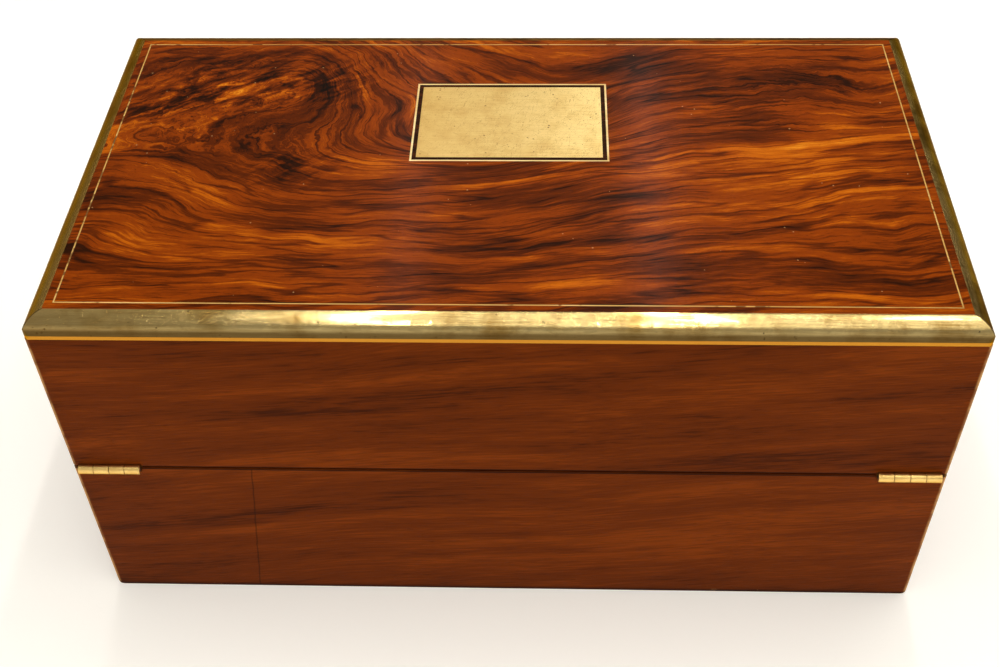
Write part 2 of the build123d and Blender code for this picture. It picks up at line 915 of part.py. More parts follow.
with BuildPart() as lid_front_rail:
    front_rail_outline = [
        slope_point(front_rail_u, recess),
        face_point(inner_y, recess),
        face_point(inner_y, recess + rail_thickness),
        slope_point(front_rail_u, recess + rail_thickness),
    ]
    add_bar(front_rail_outline, -inner_x, inner_x)
    with Locations(slope_location(0, catch_u, recess, 1)):
        Cylinder(
            catch_pin_radius,
            catch_screw_depth,
            align=(Align.CENTER, Align.CENTER, Align.MIN),
            mode=Mode.SUBTRACT,
        )
write(lid_front_rail, "lid_front_rail")

with BuildPart() as flap_catch:
    with BuildSketch(seam.offset(catch_inner)):
        with Locations((0, catch_u)):
            SlotOverall(catch_length, catch_width)
            Circle(catch_pin_radius + catch_pin_clearance, mode=Mode.SUBTRACT)
    extrude(amount=catch_thickness)
write(flap_catch, "flap_catch")

with BuildPart() as flap_catch_screw:
    with BuildSketch(seam.offset(catch_head_top)):
        with Locations((0, catch_u)):
            Circle(catch_head_radius)
    extrude(amount=catch_head_height)
    with BuildSketch(seam.offset(catch_head_top)):
        with Locations((0, catch_u)):
            Circle(catch_pin_radius)
    extrude(amount=recess - catch_head_top + catch_screw_depth)
write(flap_catch_screw, "flap_catch_screw")


# Pen section at the lock side: a divider, a floor between it and the front wall, two ink wells and the tray.
well_x = inner_x - ink_well_width
tray_half = well_x - ink_divider_thickness - tray_clearance
tray_top = face_point(pen_y, -recess)[1] - tray_drop
tray_base = tray_top - tray_thickness

with BuildPart() as pen_section_divider:
    divider_outline = [
        (divider_y, pen_floor_height),
        (pen_y, pen_floor_height),
        face_point(pen_y, -recess),
        face_point(divider_y, -recess),
    ]
    add_bar(divider_outline, -inner_x, inner_x)
write(pen_section_divider, "pen_section_divider")

with BuildPart() as pen_section_floor:
    add_block((-inner_x, pen_y, pen_floor_height), (inner_x, inner_y, pen_floor_top))
write(pen_section_floor, "pen_section_floor")

ink_divider_outline = [
    (pen_y, pen_floor_top),
    (inner_y, pen_floor_top),
    face_point(inner_y, -recess),
    face_point(pen_y, -recess),
]
for hand, s in (("left", -1), ("right", 1)):
    near, far, ledge_far = (
        s * well_x,
        s * (well_x - ink_divider_thickness),
        s * (well_x - ink_divider_thickness - tray_ledge),
    )
    with BuildPart() as ink_divider:
        add_bar(ink_divider_outline, min(near, far), max(near, far))
        add_block(
            (min(near, ledge_far), pen_y, pen_floor_top), (max(near, ledge_far), inner_y, tray_base)
        )
    write(ink_divider, f"ink_divider_{hand}")

with BuildPart() as pen_tray:
    add_block(
        (-tray_half, pen_y + tray_clearance, tray_base),
        (tray_half, inner_y - tray_clearance, tray_top),
    )
    tray_y = (pen_y + inner_y) / 2
    scoop_end = tray_half - 2 * scoop_border - nib_well_length
    scoop_start = -tray_half + scoop_border
    scoop_radius = (scoop_width**2 / 4 + scoop_depth**2) / (2 * scoop_depth)
    add_rod(
        (tray_y, tray_top - scoop_depth + scoop_radius),
        scoop_radius,
        scoop_start,
        scoop_end,
        mode=Mode.SUBTRACT,
    )
    with BuildSketch(Plane.XY.offset(tray_top)):
        with Locations((tray_half - scoop_border - nib_well_length / 2, tray_y)):
            RectangleRounded(nib_well_length, scoop_width, nib_well_radius)
    extrude(amount=-scoop_depth, mode=Mode.SUBTRACT)
write(pen_tray, "pen_tray")

for hand, s in (("left", -1), ("right", 1)):
    bottle_x = s * (inner_x - ink_well_width / 2)
    bottle_plane = Plane(origin=(bottle_x, tray_y, pen_floor_top))
    neck_base = bottle_height - bottle_shoulder
    bottle_top = bottle_height + bottle_neck_height
    with BuildPart() as ink_bottle:
        with BuildSketch(bottle_plane):
            Rectangle(bottle_side, bottle_side)
            chamfer(vertices(), bottle_corner)
        extrude(amount=bottle_height)
        chamfer(faces().sort_by(Axis.Z)[-1].edges(), bottle_shoulder)
        with BuildSketch(bottle_plane.offset(neck_base)):
            Circle(bottle_neck_radius)
        extrude(amount=bottle_top - neck_base)
        with BuildSketch(bottle_plane.offset(bottle_floor)):
            Circle(bottle_bore_radius)
        extrude(amount=bottle_top - bottle_floor, mode=Mode.SUBTRACT)
    write(ink_bottle, f"ink_bottle_{hand}")

    skirt_base = bottle_height + cap_clearance
    with BuildPart() as ink_cap:
        with BuildSketch(bottle_plane.offset(skirt_base)):
            Circle(cap_radius)
        extrude(amount=bottle_top + cap_wall - skirt_base)
        with BuildSketch(bottle_plane.offset(skirt_base)):
            Circle(bottle_neck_radius + cap_clearance)
        extrude(amount=bottle_top - skirt_base, mode=Mode.SUBTRACT)
    write(ink_cap, f"ink_cap_{hand}")
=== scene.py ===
from math import asin, cos, pi, radians, sin

import bpy
from mathutils import Matrix, Vector


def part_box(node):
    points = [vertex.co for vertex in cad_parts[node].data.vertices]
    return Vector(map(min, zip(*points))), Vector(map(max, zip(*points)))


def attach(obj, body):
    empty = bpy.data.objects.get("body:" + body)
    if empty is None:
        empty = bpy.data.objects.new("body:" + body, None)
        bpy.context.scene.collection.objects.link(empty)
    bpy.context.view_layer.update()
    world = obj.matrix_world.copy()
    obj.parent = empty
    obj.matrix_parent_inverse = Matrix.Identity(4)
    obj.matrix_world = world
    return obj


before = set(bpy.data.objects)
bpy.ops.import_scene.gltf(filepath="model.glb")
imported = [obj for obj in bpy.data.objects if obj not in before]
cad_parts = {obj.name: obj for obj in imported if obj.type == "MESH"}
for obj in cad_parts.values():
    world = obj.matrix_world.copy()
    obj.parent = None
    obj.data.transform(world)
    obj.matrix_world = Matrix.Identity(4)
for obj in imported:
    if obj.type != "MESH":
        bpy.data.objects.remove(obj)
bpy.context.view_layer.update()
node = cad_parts


# The place the box is seen from: over its hinge side, a little to the left, looking down on the lid. The box
# stands as it is stored, shut, with its hinges towards the eye.
camera_place = Vector((0.01678, -0.49835, 0.55809))
camera_down = radians(46.7686)
camera_turn = radians(-2.7325)
camera_lean = radians(-1.5056)

flat = cos(camera_down)
forward = Vector((sin(camera_turn) * flat, cos(camera_turn) * flat, -sin(camera_down)))
level = Vector((cos(camera_turn), -sin(camera_turn), 0))
upright = level.cross(forward)
right = cos(camera_lean) * level + sin(camera_lean) * upright
up = cos(camera_lean) * upright - sin(camera_lean) * level

camera = bpy.data.objects.new("camera", bpy.data.cameras.new("camera"))
camera.matrix_world = Matrix((
    (right.x, up.x, -forward.x, camera_place.x),
    (right.y, up.y, -forward.y, camera_place.y),
    (right.z, up.z, -forward.z, camera_place.z),
    (0, 0, 0, 1),
))
camera.data.sensor_width = 36.0
camera.data.lens = 47.6752
camera.data.shift_y = 0.06
camera.data.clip_start = 0.01
bpy.context.scene.collection.objects.link(camera)
bpy.context.scene.camera = camera
bpy.context.scene.view_settings.view_transform = "Standard"


# Studio: a pale room that is dim on the far side, one broad soft lamp overhead, and two long tubes that leave
# two pale bands on the polish and two bright spots on the brass edge. The table top is matt and pale.
def add_node(tree, kind, inputs=None, **settings):
    """A shader node with its settings, and each input set to a value or joined to another node's output."""
    made = tree.nodes.new("ShaderNode" + kind)
    for name, value in settings.items():
        setattr(made, name, value)
    for name, value in (inputs or {}).items():
        if isinstance(value, bpy.types.NodeSocket):
            tree.links.new(value, made.inputs[name])
        else:
            made.inputs[name].default_value = value
    return made


def reckon(tree, operation, *values, clamp=False):
    """One Math node."""
    return add_node(tree, "Math", dict(enumerate(values)), operation=operation, use_clamp=clamp).outputs[0]


def reckon_place(tree, operation, *values, result=0):
    """One Vector Math node."""
    return add_node(tree, "VectorMath", dict(enumerate(values)), operation=operation).outputs[result]


def mix_colours(tree, share, first, second):
    """One colour Mix node."""
    return add_node(tree, "Mix", {0: share, 6: first, 7: second}, data_type="RGBA").outputs[2]


def fade(tree, value, low, high, at_low=0.0, at_high=1.0, smooth=True):
    """Turns a value between low and high into one between at_low and at_high."""
    made = add_node(
        tree, "MapRange",
        {"Value": value, "From Min": low, "From Max": high, "To Min": at_low, "To Max": at_high},
        interpolation_type="SMOOTHSTEP" if smooth else "LINEAR",
    )
    return made.outputs["Result"]


def split_up(tree, place):
    """The three coordinates of a place."""
    return add_node(tree, "SeparateXYZ", {"Vector": place}).outputs


def paint(red, green, blue):
    """A colour written as it looks on screen, 0 to 255, as the shader takes it."""
    linear = (((v / 255 + 0.055) / 1.055) ** 2.4 if v > 10 else v / 255 / 12.92 for v in (red, green, blue))
    return (*linear, 1.0)


room = bpy.data.worlds.new("room")
bpy.context.scene.world = room
room.use_nodes = True
air = room.node_tree
air.nodes.clear()
sight = split_up(air, add_node(air, "TexCoord").outputs["Generated"])
aside = fade(air, reckon(air, "ABSOLUTE", sight["X"]), 0.45, 0.9, 0.0, 1.1)
far_side = fade(air, sight["Y"], -0.1, 0.5)
near_shade = fade(air, sight["Z"], 0.05, 0.6, 1.4, 0.35)
far_shade = fade(air, sight["Z"], 0.0, 0.5, 0.6, 0.42)
ahead = add_node(air, "Mix", {0: far_side, 2: near_shade, 3: far_shade}, data_type="FLOAT").outputs[0]
shade = reckon(air, "MAXIMUM", aside, ahead)
ray = add_node(air, "LightPath").outputs
seen = reckon(air, "MAXIMUM", ray["Is Camera Ray"], ray["Is Transmission Ray"])
low_mirrored = reckon(air, "MULTIPLY", ray["Is Glossy Ray"], fade(air, sight["Z"], 0.02, 0.16, 1.0, 0.0))
strength = reckon(air, "MAXIMUM", shade, reckon(air, "MAXIMUM", seen, low_mirrored))
backdrop = add_node(air, "Background", {"Color": paint(255, 253, 248), "Strength": strength})
add_node(air, "OutputWorld", {"Surface": backdrop.outputs[0]})

# Each lamp hangs straight above its spot: its place, its width and depth in metres, and its power in watts.
lamp_colour = (1.0, 0.985, 0.955)
for name, place, size, power in (
    ("soft_lamp", (0.25, -0.3, 1.9), (1.5, 3.3), 15),
    ("left_tube", (-0.262, 0.4, 1.55), (0.04, 3.6), 6.5),
    ("right_tube", (0.235, 0.4, 1.55), (0.05, 3.6), 9.5),
    ("end_lamp", (0.56, 0.3, 1.55), (0.12, 0.5), 1.5),
):
    data = bpy.data.lights.new(name, "AREA")
    data.shape = "RECTANGLE"
    data.size, data.size_y = size
    data.energy = power
    data.color = lamp_colour
    lamp = bpy.data.objects.new(name, data)
    lamp.location = place
    lamp.rotation_euler = Vector((0, 0, -1)).to_track_quat("-Z", "Y").to_euler()
    bpy.context.scene.collection.objects.link(lamp)

reach = 40.0
corners = [(-reach, -reach, 0), (reach, -reach, 0), (reach, reach, 0), (-reach, reach, 0)]
ground = bpy.data.meshes.new("ground")
ground.from_pydata(corners, [], [(0, 1, 2, 3)])
table_top = bpy.data.objects.new("table_top", ground)
table_top.location.z = -0.0002
bpy.context.scene.collection.objects.link(table_top)


def new_finish(name):
    """An empty material, its node tree and its Principled shader."""
    finish = bpy.data.materials.new(name)
    finish.use_nodes = True
    tree = finish.node_tree
    return finish, tree, tree.nodes["Principled BSDF"]


paper, tree, shader = new_finish("pale_table")
shader.inputs["Base Color"].default_value = paint(250, 246, 238)
shader.inputs["Roughness"].default_value = 0.9
shader.inputs["Specular IOR Level"].default_value = 0.0
shader.inputs["Emission Color"].default_value = paint(255, 252, 246)
ray = add_node(tree, "LightPath").outputs
seen = reckon(tree, "MAXIMUM", ray["Is Camera Ray"], ray["Is Transmission Ray"])
seen = reckon(tree, "MAXIMUM", seen, ray["Is Glossy Ray"])
place = add_node(tree, "TexCoord").outputs["Object"]
from_box = reckon_place(tree, "LENGTH", place, result="Value")
glow = fade(tree, from_box, 0.45, 2.5, 0.15, 0.5)
tree.links.new(reckon(tree, "MULTIPLY", seen, glow), shader.inputs["Emission Strength"])
ground.materials.append(paper)


# Carcass: walnut boards, mitred and glued up whole, then sawn apart on a slant into the base and the lid. The
# corners have a painted highlight along them, patchy with wear; the foot and the seam are darkened with
# painted shade; and the base's back board has a shrinkage crack. The hinge line and all sizes here are in
# millimetres.
half_width, half_depth = 200.0, 110.0
hinge_line = (0, -111.1, 92.5)
slant = radians(11)
up_slope = (0, -sin(slant), cos(slant))
down_slope = (0, sin(slant), -cos(slant))


def noise(tree, place, scale=1.0, detail=2.0, roughness=0.5, distortion=0.0):
    """One Noise texture, as a value about 0.5."""
    inputs = {"Vector": place, "Scale": scale, "Detail": detail, "Roughness": roughness}
    return add_node(tree, "TexNoise", {**inputs, "Distortion": distortion}).outputs["Fac"]


def stretch(tree, place, x, y, z):
    """A place with each coordinate multiplied."""
    return reckon_place(tree, "MULTIPLY", place, (x, y, z))


def place_in_mm(tree):
    """Object coordinates in millimetres."""
    place = add_node(tree, "TexCoord").outputs["Object"]
    return add_node(tree, "VectorMath", {0: place, "Scale": 1000.0}, operation="SCALE").outputs[0]


def wood_place(tree, along, turn=0.0):
    """Object coordinates with the grain laid along the given axis."""
    place = add_node(tree, "TexCoord").outputs["Object"]
    for angles in ({"x": (0, 0, 0), "y": (0, 0, -pi / 2)}[along], (0, turn, 0)):
        inputs = {"Vector": place, "Rotation": angles}
        place = add_node(tree, "VectorRotate", inputs, rotation_type="EULER_XYZ").outputs[0]
    return place


def straight_grain_group():
    """Straight grain: broad bands, fine streaks and pores, all drawn out along X."""
    group = bpy.data.node_groups.new("straight_grain", "ShaderNodeTree")
    face = group.interface
    face.new_socket("Place", in_out="INPUT", socket_type="NodeSocketVector")
    for name in ("Dark", "Middle", "Light"):
        face.new_socket(name, in_out="INPUT", socket_type="NodeSocketColor")
    face.new_socket("Band width", in_out="INPUT", socket_type="NodeSocketFloat")
    face.new_socket("Colour", in_out="OUTPUT", socket_type="NodeSocketColor")
    face.new_socket("Height", in_out="OUTPUT", socket_type="NodeSocketFloat")
    given = group.nodes.new("NodeGroupInput").outputs
    sway = add_node(group, "TexNoise", {"Vector": given["Place"], "Scale": 5.0}).outputs["Color"]
    centred = reckon_place(group, "SUBTRACT", sway, (0.5, 0.5, 0.5))
    pushed = reckon_place(group, "MULTIPLY_ADD", centred, (0.0, 0.02, 0.02), given["Place"])
    drawn = {0: stretch(group, pushed, 7.0, 85.0, 85.0), "Scale": given["Band width"]}
    bands = noise(group, add_node(group, "VectorMath", drawn, operation="SCALE").outputs[0], 1.0, 3.0, 0.55)
    streaks = noise(group, stretch(group, pushed, 48.0, 1100.0, 1100.0), 1.0, 2.0, 0.6)
    pore = fade(group, noise(group, stretch(group, pushed, 130.0, 2600.0, 2600.0), 1.0, 1.0), 0.60, 0.72)
    tone = reckon(group, "MULTIPLY_ADD", streaks, 0.4, reckon(group, "MULTIPLY_ADD", bands, 0.62, 0.05))
    dark_to_middle = mix_colours(group, fade(group, tone, 0.34, 0.56), given["Dark"], given["Middle"])
    to_light = mix_colours(group, fade(group, tone, 0.54, 0.74), dark_to_middle, given["Light"])
    pored = mix_colours(group, reckon(group, "MULTIPLY", pore, 0.35), to_light, given["Dark"])
    rise = reckon(group, "SUBTRACT", reckon(group, "MULTIPLY", streaks, 0.4), pore)
    taken = group.nodes.new("NodeGroupOutput")
    group.links.new(pored, taken.inputs["Colour"])
    group.links.new(rise, taken.inputs["Height"])
    return group


straight_grain = straight_grain_group()


def use_group(tree, group, **inputs):
    """Places a group in a material, with its values. An underscore stands for a space in a socket's name."""
    made = tree.nodes.new("ShaderNodeGroup")
    made.node_tree = group
    for name, value in inputs.items():
        socket = made.inputs[name.replace("_", " ")]
        if isinstance(value, bpy.types.NodeSocket):
            tree.links.new(value, socket)
        else:
            socket.default_value = value
    return made.outputs


def lay_grain(tree, along, dark, middle, light, band_width=1.0, turn=0.0):
    """Straight grain in three colours, dark to light."""
    return use_group(
        tree, straight_grain, Place=wood_place(tree, along, turn), Dark=paint(*dark), Middle=paint(*middle),
        Light=paint(*light), Band_width=band_width,
    )


def raise_surface(tree, shader, height, distance):
    """Feeds a height to the shader's normal."""
    bump = add_node(tree, "Bump", {"Height": height, "Distance": distance, "Strength": 1.0})
    tree.links.new(bump.outputs["Normal"], shader.inputs["Normal"])


def wood_finish(name, along, *colours, band_width=1.0, turn=0.0, roughness=0.38, gloss=0.05, age=None):
    """Straight grained wood under polish. The age lays wear, stains, painted highlight and painted shade, or
    a second wood over its colour.
    """
    finish, tree, shader = new_finish(name)
    grain = lay_grain(tree, along, *colours, band_width, turn)
    colour = age(tree, grain["Colour"]) if age else grain["Colour"]
    tree.links.new(colour, shader.inputs["Base Color"])
    dull = fade(tree, grain["Height"], -0.6, 0.4, roughness + 0.12, roughness)
    tree.links.new(dull, shader.inputs["Roughness"])
    shader.inputs["Specular IOR Level"].default_value = gloss
    raise_surface(tree, shader, grain["Height"], distance=0.00004)
    return finish


def dress(finish, *names):
    """Gives solids their finish."""
    for name in names:
        for slot in node[name].material_slots:
            slot.material = finish


def wall_wear_and_shade_group():
    """Painted highlight along the corners, painted shade along the foot and the seam, chips at the foot and a
    shrinkage crack.
    """
    group = bpy.data.node_groups.new("wall_wear_and_shade", "ShaderNodeTree")
    face = group.interface
    for name in ("Place", "Normal"):
        face.new_socket(name, in_out="INPUT", socket_type="NodeSocketVector")
    for way in ("INPUT", "OUTPUT"):
        face.new_socket("Colour", in_out=way, socket_type="NodeSocketColor")
    given = group.nodes.new("NodeGroupInput").outputs
    place = given["Place"]
    x, y, z = split_up(group, place)
    uneven = noise(group, place, 0.12, 3.0)
    # Pale along the corners: a painted highlight where the rounded arris catches the light, patchy with wear.
    near_end = fade(group, reckon(group, "ABSOLUTE", x), half_width - 2.2, half_width - 0.8)
    near_side = fade(group, reckon(group, "ABSOLUTE", y), half_depth - 2.2, half_depth - 0.7)
    corner = reckon(group, "MULTIPLY", near_end, near_side)
    corner_highlight = reckon(group, "MULTIPLY", corner, fade(group, uneven, 0.36, 0.56, 0.3, 0.95))
    aged_and_shaded = mix_colours(group, corner_highlight, given["Colour"], paint(192, 142, 84))
    # Darker along the foot: painted shade where the rounded foot turns down, away from the light.
    foot = reckon(group, "MULTIPLY", fade(group, z, 0.6, 3.2, 1.0, 0.0), 0.8)
    aged_and_shaded = mix_colours(group, foot, aged_and_shaded, paint(32, 12, 3))
    chips = fade(group, noise(group, place, 0.09, 4.0, 0.7), 0.64, 0.67)
    chip = reckon(group, "MULTIPLY", chips, fade(group, z, 1.0, 2.2, 1.0, 0.0))
    aged_and_shaded = mix_colours(group, chip, aged_and_shaded, paint(186, 140, 88))

    crack_foot, crack_lean, crack_top = -126.2, -0.105, 92.0
    leaning = reckon(group, "ADD", x, reckon(group, "MULTIPLY", z, crack_lean))
    wander = reckon(group, "MULTIPLY_ADD", uneven, 1.2, -crack_foot)
    off_crack = reckon(group, "ABSOLUTE", reckon(group, "ADD", leaning, wander))
    on_back = reckon(group, "LESS_THAN", y, 1.0 - half_depth)
    in_base = reckon(group, "LESS_THAN", z, crack_top)
    crack = fade(group, off_crack, 0.1, 0.6, 0.5, 0.0)
    crack = reckon(group, "MULTIPLY", crack, reckon(group, "MULTIPLY", on_back, in_base))
    aged_and_shaded = mix_colours(group, crack, aged_and_shaded, paint(24, 9, 2))

    # Painted shade in the seam's gap: dark on the outer faces next to the seam, lighter on the rim faces.
    from_hinge = reckon_place(group, "SUBTRACT", place, hinge_line)
    off_seam = reckon_place(group, "DOT_PRODUCT", from_hinge, up_slope, result="Value")
    seam_shade = fade(group, reckon(group, "ABSOLUTE", off_seam), 0.85, 1.5, 1.0, 0.0)
    towards_seam = reckon_place(group, "DOT_PRODUCT", given["Normal"], up_slope, result="Value")
    on_rim = fade(group, reckon(group, "ABSOLUTE", towards_seam), 0.6, 0.8, 0.9, 0.45)
    aged_and_shaded = mix_colours(group, reckon(group, "MULTIPLY", seam_shade, on_rim), aged_and_shaded, paint(20, 8, 3))
    taken = group.nodes.new("NodeGroupOutput")
    group.links.new(aged_and_shaded, taken.inputs["Colour"])
    return group


wall_wear_and_shade = wall_wear_and_shade_group()


def age_and_shade_walls(tree, colour):
    """Lays the wear, chips, crack, painted highlight and painted shade of the walls over their colour."""
    normal = add_node(tree, "TexCoord").outputs["Normal"]
    return use_group(tree, wall_wear_and_shade, Place=place_in_mm(tree), Normal=normal, Colour=colour)["Colour"]


walnut = ((58, 20, 1), (97, 39, 2), (122, 53, 5))
walnut_back = wood_finish("walnut_back", "x", *walnut, turn=radians(6), gloss=0.03, age=age_and_shade_walls)
walnut_ends = wood_finish("walnut_ends", "y", *walnut, turn=radians(2), gloss=0.03, age=age_and_shade_walls)
dress(walnut_back, "base_back", "lid_back", "base_front", "lid_front")
dress(walnut_ends, "base_left_end", "base_right_end", "lid_left_end", "lid_right_end")


# Hidden boards: the lid's board under the veneer, the bottom board and the battens that the flaps lie on.
# They are plain pine, planed, glued in and left bare.
pine = ((120, 84, 48), (160, 120, 76), (184, 146, 98))
plain_wood = wood_finish("plain_wood", "x", *pine, roughness=0.6, gloss=0.2)
dress(plain_wood, "lid_top", "base_bottom", "base_flap_ledges", "lid_flap_ledges")


# Lid top: one leaf of figured walnut veneer glued over the board and French polished. It is cut from where a
# trunk forks, so the grain swirls on the left and runs along the lid on the right.

# Each knot pushes the grain lines aside: its place, how far it reaches along and across, how far it pushes,
# all in millimetres, and how it is turned in degrees.
knots = (
    (-147, 42, 96, 33, -33, 44), (-102, 59, 27, 20, -31, -60), (-8, 30, 62, 34, 61, 23),
    (-49, -41, 71, 39, 22, -5), (-127, 44, 22, 11, -10, 13), (176, 51, 21, 18, 10, -19),
    (-11, 49, 51, 19, -18, 7), (-238, 11, 82, 8, 21, -2), (204, -17, 82, 36, -18, 10),
    (-179, -43, 55, 22, -10, 30), (-186, 95, 122, 46, -52, 7), (-50, -31, 56, 32, -13, 41),
)
# Dark and light patches: place, reach along and across, and how much darker (below zero) or lighter.
patches = (
    (-158, 86, 30, 8, -0.5), (-92, 60, 12, 26, -0.55), (-103, -10, 9, 6, -0.9), (-98, -53, 12, 8, -0.6),
    (-157, 3, 10, 6, -0.6), (47, -53, 16, 9, -0.9), (73, -77, 26, 8, -0.6), (-13, 73, 18, 12, -0.6),
    (66, 73, 32, 18, -0.9), (104, 66, 24, 12, -0.5), (146, 68, 22, 12, -0.6), (168, 90, 24, 8, -0.5),
    (-20, -8, 26, 6, -0.6), (-10, -26, 60, 7, -0.35), (-30, -75, 60, 8, -0.35),
    (-57, -3, 15, 8, 0.5), (-128, -25, 26, 9, 0.35), (-165, -57, 24, 18, 0.25), (117, -7, 60, 16, 0.9),
    (128, -42, 60, 14, 0.5), (14, -50, 26, 8, 0.4), (155, 30, 12, 8, 0.7), (-150, 20, 14, 9, 0.4),
    (-30, 92, 22, 10, 0.3), (30, 60, 14, 8, 0.2), (110, 92, 30, 7, 0.3), (-138, 56, 46, 26, -0.45),
)
# Where the grain is crumpled, and where it breaks up into blots. The push is how much of that there is.
crumpled = ((-135, 50, 62, 50, 1.0, 20), (150, 55, 45, 30, 0.5, 0))
blotted = ((-145, 56, 48, 26, 1.0, 25), (-92, 62, 20, 16, 0.7, 0), (-100, -6, 22, 14, 0.5, 0))


def spin(tree, place, angle):
    """A place turned about the upright axis."""
    inputs = {"Vector": place, "Angle": angle}
    return add_node(tree, "VectorRotate", inputs, rotation_type="Z_AXIS").outputs[0]


def hump_group():
    """A smooth hump in the plane of the lid, added to what came before."""
    group = bpy.data.node_groups.new("hump", "ShaderNodeTree")
    face = group.interface
    for name in ("Place", "Centre", "Nearness"):
        face.new_socket(name, in_out="INPUT", socket_type="NodeSocketVector")
    for name in ("Turn", "Push", "So far"):
        face.new_socket(name, in_out="INPUT", socket_type="NodeSocketFloat")
    face.new_socket("Sum", in_out="OUTPUT", socket_type="NodeSocketFloat")
    given = group.nodes.new("NodeGroupInput").outputs
    away = reckon_place(group, "SUBTRACT", given["Place"], given["Centre"])
    scaled = reckon_place(group, "MULTIPLY", spin(group, away, given["Turn"]), given["Nearness"])
    squared = reckon_place(group, "DOT_PRODUCT", scaled, scaled, result="Value")
    bell = reckon(group, "EXPONENT", reckon(group, "MULTIPLY", squared, -1.0))
    taken = group.nodes.new("NodeGroupOutput")
    group.links.new(reckon(group, "MULTIPLY_ADD", bell, given["Push"], given["So far"]), taken.inputs["Sum"])
    return group


hump = hump_group()


def add_humps(tree, place, rows, start=0.0):
    """Adds up a row of humps, each (x, y, reach along, reach across, push, turn)."""
    total = start
    for x, y, along, across, push, turn in rows:
        total = use_group(
            tree, hump, Place=place, Centre=(x, y, 0), Nearness=(1 / along, 1 / across, 0),
            Turn=-radians(turn), Push=push, So_far=total,
        )["Sum"]
    return total


veneer, tree, shader = new_finish("figured_veneer")
place = place_in_mm(tree)
x, y, z = split_up(tree, place)
plain_run = reckon(tree, "MULTIPLY_ADD", x, -0.042, reckon(tree, "MULTIPLY", y, 0.956))
run = add_humps(tree, place, knots, plain_run)
crumple_reach = reckon(tree, "MULTIPLY_ADD", add_humps(tree, place, crumpled), 20.0, 1.4)
sway = reckon(tree, "MULTIPLY", reckon(tree, "SUBTRACT", noise(tree, place, 0.02), 0.5), 14.0)
ripple = reckon(tree, "SUBTRACT", noise(tree, place, 0.085, 3.0, 0.6), 0.5)
crumple = reckon(tree, "MULTIPLY", ripple, crumple_reach)
level_line = reckon(tree, "ADD", run, reckon(tree, "ADD", sway, crumple))


def follow(along, across):
    """A place that moves slowly along the grain and quickly across it."""
    moves = {"X": (x, along), "Y": (y, along), "Z": (level_line, across)}
    followed = {axis: reckon(tree, "MULTIPLY", value, scale) for axis, (value, scale) in moves.items()}
    return add_node(tree, "CombineXYZ", followed).outputs[0]


def away_from(tree, value, middle):
    """How far a value is from a middle, either way."""
    return reckon(tree, "ABSOLUTE", reckon(tree, "SUBTRACT", value, middle))


def dark_lines(wander, width):
    """Thin dark lines where a noise crosses its middle."""
    return fade(tree, away_from(tree, wander, 0.5), 0.0, width, 1.0, 0.0)


bands = noise(tree, follow(0.012, 0.075))
streaks = noise(tree, follow(0.03, 0.4), 1.0, 3.0, 0.6)
fibres = noise(tree, follow(0.12, 2.2), 1.0, 2.0, 0.6)
broad = noise(tree, follow(0.012, 0.13), 1.0, 2.0, 0.45)
narrow = noise(tree, follow(0.02, 0.34), 1.0, 2.0, 0.45)
leaning = spin(tree, place, radians(-32))
blots = noise(tree, stretch(tree, leaning, 0.055, 0.19, 0.0), 1.0, 4.0, 0.62, 0.6)
blotting = reckon(tree, "MULTIPLY", reckon(tree, "SUBTRACT", blots, 0.53), add_humps(tree, place, blotted))
patch_tone = add_humps(tree, place, [(*patch, 0) for patch in patches])
# Each part of the figure: its value, the value at which it changes nothing, and its weight.
tone = 0.5
for value, middle, weight in (
    (bands, 0.5, 0.95), (streaks, 0.5, 0.46), (fibres, 0.5, 0.48), (broad, 0.5, 0.5), (patch_tone, 0.0, 0.24),
    (dark_lines(broad, 0.05), 0.3, -0.22), (dark_lines(narrow, 0.06), 0.3, -0.1), (blotting, 0.0, 2.6),
):
    part = reckon(tree, "MULTIPLY", reckon(tree, "SUBTRACT", value, middle), weight)
    tone = reckon(tree, "ADD", tone, part)
softened = reckon(tree, "MULTIPLY_ADD", tone, 0.84, 0.07)
figure = add_node(tree, "ValToRGB", {"Fac": softened})
ramp = figure.color_ramp
ramp.interpolation = "EASE"
tones = ((16, 5, 0), (40, 13, 0), (82, 29, 0), (128, 51, 1), (178, 88, 5), (216, 134, 28))
ramp.elements[0].color = paint(*tones[0])
ramp.elements[1].color = paint(*tones[-1])
for count, colour in enumerate(tones[1:-1], 1):
    ramp.elements.new(count / 5).color = paint(*colour)
vessel = fade(tree, noise(tree, follow(0.5, 4.5), 1.0, 1.0), 0.62, 0.74)
pored = mix_colours(tree, reckon(tree, "MULTIPLY", vessel, 0.5), figure.outputs["Color"], paint(40, 14, 2))
grit = add_node(tree, "TexVoronoi", {"Vector": place, "Scale": 0.16}).outputs["Distance"]
grit_size = fade(tree, noise(tree, place, 0.05), 0.42, 0.7, 0.0, 0.075)
gritty = reckon(tree, "MULTIPLY", reckon(tree, "LESS_THAN", grit, grit_size), 0.42)
tree.links.new(mix_colours(tree, gritty, pored, paint(206, 158, 104)), shader.inputs["Base Color"])
shader.inputs["Roughness"].default_value = 0.32
shader.inputs["Specular IOR Level"].default_value = 0.02
shader.inputs["Coat Weight"].default_value = 0.1
shader.inputs["Coat Roughness"].default_value = 0.14
shader.inputs["Coat IOR"].default_value = 1.2
dress(veneer, "lid_veneer")


# Border line: a strip of pale boxwood let into the veneer near the edge and rubbed level with it. It has lost
# its colour in places, and old polish has darkened both its joints.
line_half_width = 0.4


